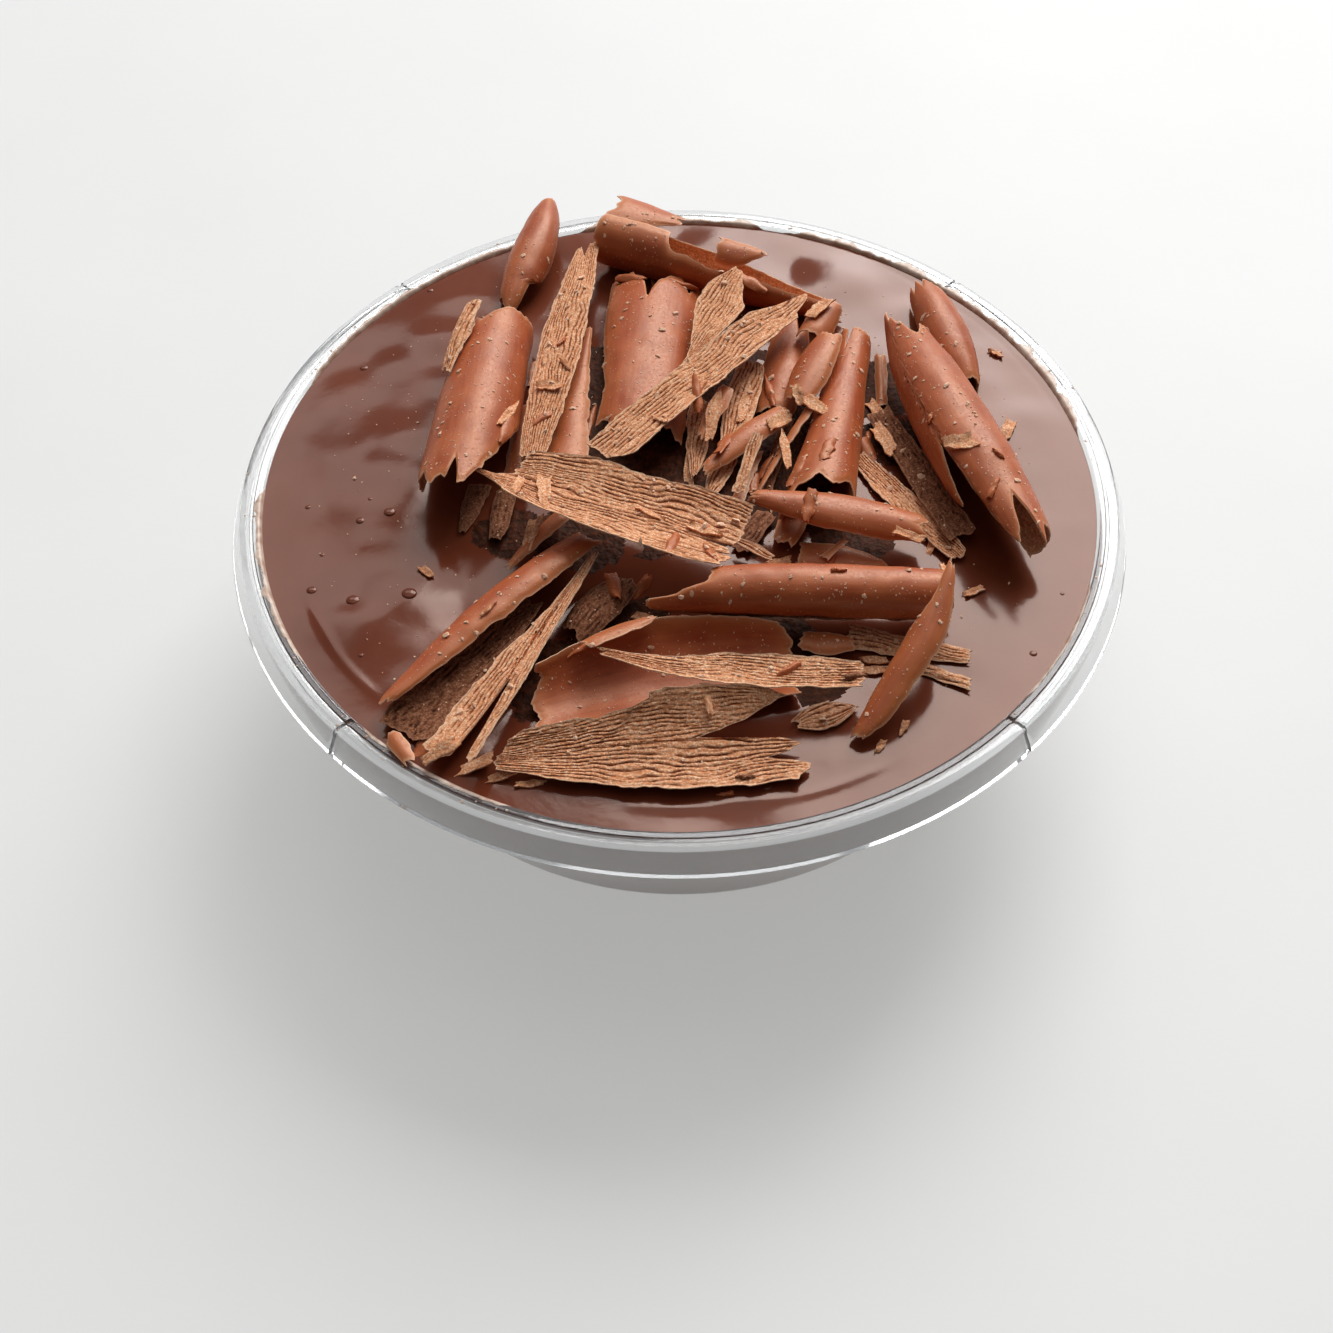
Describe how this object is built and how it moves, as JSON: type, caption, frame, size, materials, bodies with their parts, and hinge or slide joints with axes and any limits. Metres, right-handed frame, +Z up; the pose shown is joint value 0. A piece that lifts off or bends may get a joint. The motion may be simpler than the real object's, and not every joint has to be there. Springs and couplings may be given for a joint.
{
  "type": "chocolate dessert cup",
  "caption": "Clear round dessert cup filled to the brim with glossy chocolate sauce, under a loose heap of rolled milk chocolate curls and ribbed shavings.",
  "frame": {"origin": "middle of the cup's flat base", "axes": "+Z up through the cup's mouth, -Y towards the side that the heap is seen from, +X to the right of it"},
  "size_m": [0.1226, 0.1226, 0.0466],
  "materials": {
    "clear_cup": "clear, glossy",
    "sauce": "wet, glossy",
    "smooth_chocolate": "satin",
    "ribbed_chocolate": "dull, grooved",
    "dull_chocolate": "dull"
  },
  "bodies": {
    "root": {"cup": "clear_cup", "sauce": "sauce", "shard_left_low": "dull_chocolate", "shard_left_inner": "dull_chocolate", "curl_stub": "smooth_chocolate", "curl_hidden": "dull_chocolate", "shaving_front_low": "ribbed_chocolate", "curl_front_left": "smooth_chocolate", "curl_front_left_top": "smooth_chocolate", "shaving_front_long": "ribbed_chocolate", "curl_lower_middle": "smooth_chocolate", "chip_lower_middle": "smooth_chocolate", "chip_front_right": "smooth_chocolate", "slat_front_right": "ribbed_chocolate", "slat_front_outer": "ribbed_chocolate", "flake_front_right": "ribbed_chocolate", "scrap_on_rim": "smooth_chocolate", "shaving_right_inner": "ribbed_chocolate", "shaving_right_outer": "dull_chocolate", "curl_under_middle": "smooth_chocolate", "curl_right_back": "smooth_chocolate", "curl_right_large": "smooth_chocolate", "curl_back_long": "smooth_chocolate", "flap_back": "smooth_chocolate", "sliver_back": "smooth_chocolate", "curl_back_cone": "smooth_chocolate", "curl_back_middle": "smooth_chocolate", "curl_back_end": "smooth_chocolate", "shard_centre_a": "ribbed_chocolate", "shard_centre_b": "ribbed_chocolate", "shard_centre_c": "smooth_chocolate", "shard_centre_d": "smooth_chocolate", "shard_centre_e": "ribbed_chocolate", "slat_centre_a": "ribbed_chocolate", "slat_centre_b": "smooth_chocolate", "shard_across_middle": "smooth_chocolate", "sliver_centre": "ribbed_chocolate", "curl_right_centre": "smooth_chocolate", "curl_right_lobe": "smooth_chocolate", "strip_centre_right": "smooth_chocolate", "curl_left_large": "smooth_chocolate", "shaving_left_edge": "ribbed_chocolate", "curl_wedge": "smooth_chocolate", "curl_broad": "smooth_chocolate", "shaving_triangle": "ribbed_chocolate", "shaving_left_long": "ribbed_chocolate", "shaving_diagonal": "ribbed_chocolate", "curl_front_roll": "smooth_chocolate", "shaving_front_broad": "ribbed_chocolate", "shaving_front_narrow": "ribbed_chocolate", "curl_across_middle": "smooth_chocolate", "curl_front_leaning": "smooth_chocolate", "shaving_centre_broad": "ribbed_chocolate", "shard_centre_f": "ribbed_chocolate", "shard_centre_g": "smooth_chocolate", "shard_centre_h": "dull_chocolate", "curl_right_small": "smooth_chocolate"}
  },
  "joints": []
}
